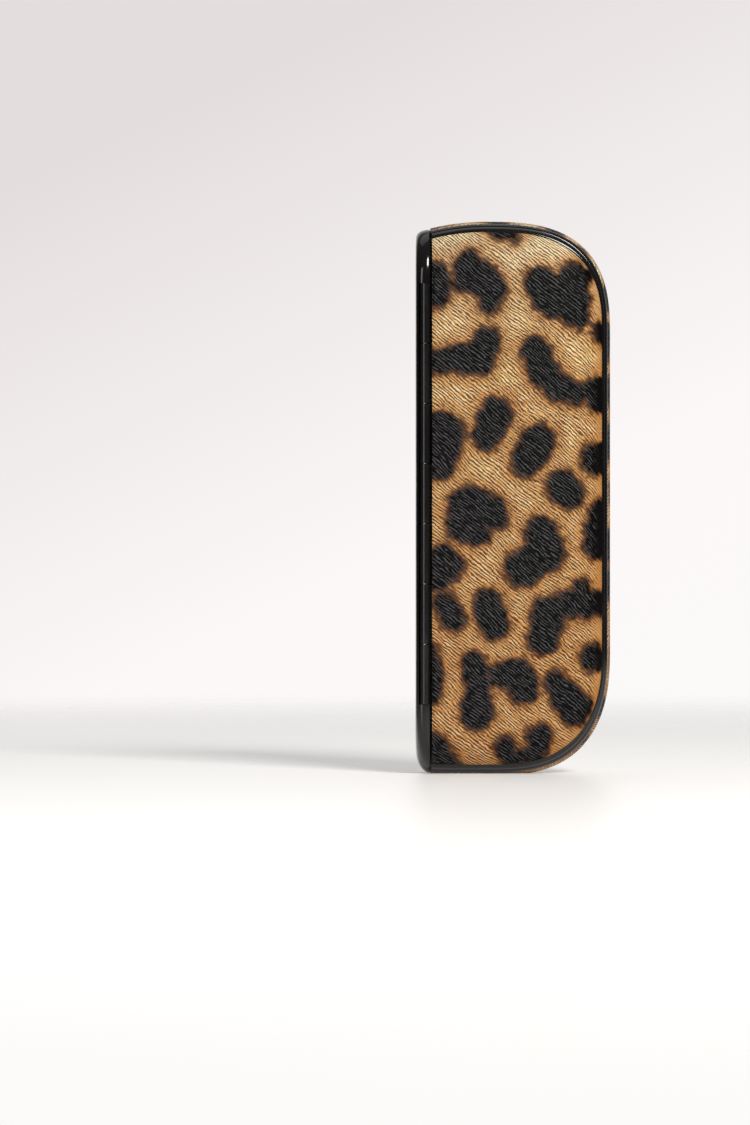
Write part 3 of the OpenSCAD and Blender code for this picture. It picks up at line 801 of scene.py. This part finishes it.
def blade_edges(u):
    heights, lefts, rights = zip(*BLADE)
    return float(np.interp(u, heights, lefts)), float(np.interp(u, heights, rights))


def spread(u):
    """Distance of an arm from the middle at height u: it bows out and comes back in to the heel."""
    root, tip = ARM_T / 2 + WELD, (TIP_GAP + ARM_T) / 2
    low = tip + (BOW_MAX - tip) * np.sin(np.clip(u / BOW_U, 0, 1) * math.pi / 2)
    back = np.clip((u - BOW_U) / (ARM_TOP - BOW_U), 0, 1) * math.pi
    high = root + (BOW_MAX - root) * (0.5 + 0.5 * np.cos(back))
    return np.where(u < BOW_U, low, high)


def steel_strip(name, u0, u1, middle, thick, count):
    """A steel strip with softened edges between heights u0 and u1. middle(u) is its place in depth. A strip
    that starts at the tips has the slant cut there."""
    section = [(0, -1), (0.35, -1), (0.75, -0.98), (0.93, -0.84), (1.0, -0.5), (1.0, 0.0), (1.0, 0.5),
               (0.93, 0.84), (0.75, 0.98), (0.35, 1), (0, 1)]
    section += [(-a, b) for a, b in reversed(section[1:-1])]
    points = []
    for u in np.linspace(u0, u1, count):
        left, right = blade_edges(u)
        mid_x, half = (left + right) / 2, (right - left) / 2
        soft = min(0.55, half * 0.5)
        for a, b in section:
            side, slant = mid_x, 0.0
            if abs(a) >= 0.35:
                side = mid_x + math.copysign(1, a) * (half - soft + soft * (abs(a) - 0.35) / 0.65)
            if u0 == 0 and u < SLANT_REACH:
                slant = max(0.0, SLANT_RISE * (side + TIP_HALF) / (2 * TIP_HALF)) * (1 - u / SLANT_REACH)
            v = u + slant
            points.append((NEST_X + side, NEST_Y + float(middle(v)) + b * thick / 2, TIP_Z + v))
    m, n = len(section), count
    faces = [(i * m + j, i * m + (j + 1) % m, (i + 1) * m + (j + 1) % m, (i + 1) * m + j)
             for i in range(n - 1) for j in range(m)]
    faces += [tuple(range(m)), tuple((n - 1) * m + j for j in reversed(range(m)))]
    return make_piece(name, points, faces, BRUSHED, STEEL_CREASE)


def tweezers():
    top = ARM_TOP - 0.06
    front = steel_strip("front_arm", 0, top, lambda u: -spread(u), ARM_T - 0.02, 150)
    hand_over(front, "arm_front", "brushed_steel", "tweezer_arm_front")
    rear = steel_strip("rear_arm", 0, top, spread, ARM_T - 0.02, 150)
    hand_over(rear, "arm_rear", "brushed_steel", "tweezer_arm_rear")
    heel = steel_strip("welded_heel", ARM_TOP, TWEEZER_L - 0.01, lambda u: 0.0, 2 * (ARM_T + WELD) - 0.02, 60)
    hand_over(heel, "tweezers", "brushed_steel", "tweezer_heel")


# ---- Make the case ----
def finish_of(node, material):
    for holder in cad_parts[node].material_slots:
        holder.material = material


lid_skin = leather_skin("lid_cover", -1, LID_X, LID_ROUND_ROWS, LID_SPOTS)
hand_over(lid_skin, "lid", "leopard_leather", "lid_leather")
base_spots = scattered_spots(7, -32, 46, -22, 136)
base_skin = leather_skin("base_cover", 1, FRAME_X + SEAM, BASE_ROUND_ROWS, base_spots)
hand_over(base_skin, "base", "leopard_leather", "base_leather")
lid_y, base_y = PART_Y - PART_GAP / 2, PART_Y + PART_GAP / 2
hand_over(shell("lid_moulding", lid_y, -1, LID_X, 0), "lid", "black_plastic", "lid_shell")
hand_over(shell("base_moulding", base_y, 1, SHELL_X, SHELL_T), "base", "black_plastic", "base_shell")
hand_over(bead("lid_bead", BEAD_FRONT_Y, lid_y, LID_X), "lid", "gloss_black", "lid_bezel")
hand_over(bead("base_bead", base_y, BEAD_BACK_Y, FRAME_X + SEAM), "base", "gloss_black", "base_bezel")
hand_over(spine_moulding(), "base", "gloss_black", "spine_frame")
hand_over(spine_inlay(), "base", "leopard_leather", "spine_leather")
tweezers()
for node, material in {
        "base_hinge_leaf": HINGE_BLACK, "lid_hinge_leaf": HINGE_BLACK, "hinge_pin": STEEL,
        "hinge_screws": STEEL, "lid_leaf_screws": STEEL, "nest_tray": FLOCK, "nest_magnet": NICKEL,
        "catch_magnets": NICKEL, "catch_plates": STEEL, "mirror_frame": SHELL_BLACK, "mirror_pad": FOAM,
        "mirror_glass": MIRROR}.items():
    finish_of(node, material)


# ---- Studio ----
FLOOR_REACH, FADE_START, FADE_END = 1.6, 0.2, 0.75


def floor():
    """A white floor that fades out into the backdrop behind the case."""
    corners = [(x * FLOOR_REACH, y * FLOOR_REACH, 0) for x, y in ((-1, -1), (1, -1), (1, 1), (-1, 1))]
    mesh = bpy.data.meshes.new("studio_floor")
    mesh.from_pydata(corners, [], [(0, 1, 2, 3)])
    sheet = bpy.data.objects.new("studio_floor", mesh)
    bpy.context.collection.objects.link(sheet)
    material, tree, shader = new_material("white studio floor")
    shader.inputs["Base Color"].default_value = (0.95, 0.94, 0.93, 1)
    shader.inputs["Emission Color"].default_value = (1, 0.995, 0.985, 1)
    shader.inputs["Emission Strength"].default_value = 0.17
    shader.inputs["Roughness"].default_value = 0.38
    shader.inputs["Specular IOR Level"].default_value = 0.12
    reach = tree.nodes.new("ShaderNodeVectorMath")
    reach.operation = "LENGTH"
    link(tree, object_place(tree), reach.inputs[0])
    link(tree, ramp(tree, reach.outputs["Value"], 1, 0, FADE_START, FADE_END), shader.inputs["Alpha"])
    mesh.materials.append(material)


def lamp(name, place, aim, size, power, colour=(1, 1, 1), shine_only=False):
    """A soft panel of light. With shine_only it shows in reflections and lights nothing."""
    light = bpy.data.lights.new(name, "AREA")
    light.shape, light.size, light.size_y = "RECTANGLE", size[0], size[1]
    light.energy, light.color = power, colour
    lamp_object = bpy.data.objects.new(name, light)
    lamp_object.location = place
    lamp_object.rotation_euler = (Vector(aim) - Vector(place)).to_track_quat("-Z", "Y").to_euler()
    lamp_object.visible_diffuse = not shine_only
    bpy.context.collection.objects.link(lamp_object)


def surroundings():
    """A pale backdrop for the camera, and dimmer surroundings for the light that falls on the case."""
    world = bpy.data.worlds.new("studio")
    bpy.context.scene.world = world
    world.use_nodes = True
    tree = world.node_tree
    background = tree.nodes["Background"]
    axes = tree.nodes.new("ShaderNodeSeparateXYZ")
    link(tree, tree.nodes.new("ShaderNodeTexCoord").outputs["Generated"], axes.inputs[0])
    rise = math_node(tree, "SUBTRACT", math_node(tree, "MULTIPLY", axes.outputs["Z"], 5.2),
                     math_node(tree, "MULTIPLY", axes.outputs["X"], 2.4))
    rise = math_node(tree, "ADD", rise, 0.5, clamp=True)
    shade = tree.nodes.new("ShaderNodeValToRGB")
    link(tree, rise, shade.inputs[0])
    shade.color_ramp.elements[0].color = (0.975, 0.968, 0.95, 1)
    shade.color_ramp.elements[1].color = (0.77, 0.73, 0.725, 1)
    shade.color_ramp.elements.new(0.5).color = (0.965, 0.935, 0.928, 1)
    room = tree.nodes.new("ShaderNodeValToRGB")
    height = math_node(tree, "MULTIPLY", math_node(tree, "ADD", axes.outputs["Z"], 1.0), 0.5)
    link(tree, height, room.inputs[0])
    for end in (0, 1):
        room.color_ramp.elements[end].color = (0.20, 0.197, 0.193, 1)
    room.color_ramp.elements.new(0.5).color = (0.06, 0.059, 0.058, 1)
    path = tree.nodes.new("ShaderNodeLightPath")
    behind = ramp(tree, axes.outputs["Y"], 0, 1, 0.55, 0.95)
    around = mix_colour(tree, behind, room.outputs[0], (0.93, 0.91, 0.90))
    link(tree, mix_colour(tree, path.outputs["Is Camera Ray"], around, shade.outputs[0]),
         background.inputs["Color"])
    background.inputs["Strength"].default_value = 1.0


floor()
surroundings()
lamp("key_softbox", place=(0.42, -0.92, 0.70), aim=(0, 0, 0.06), size=(0.38, 0.38), power=13.6,
     colour=(1, 0.985, 0.96))
lamp("strip_light", place=(-0.36, -1.1, 0.1), aim=(0, 0, 0.06), size=(0.26, 0.9), power=2.6, shine_only=True)
lamp("top_panel", place=(-0.1, 0.25, 0.9), aim=(0, 0, 0.05), size=(0.8, 0.5), power=0.8)
bpy.context.scene.view_settings.view_transform = "Standard"
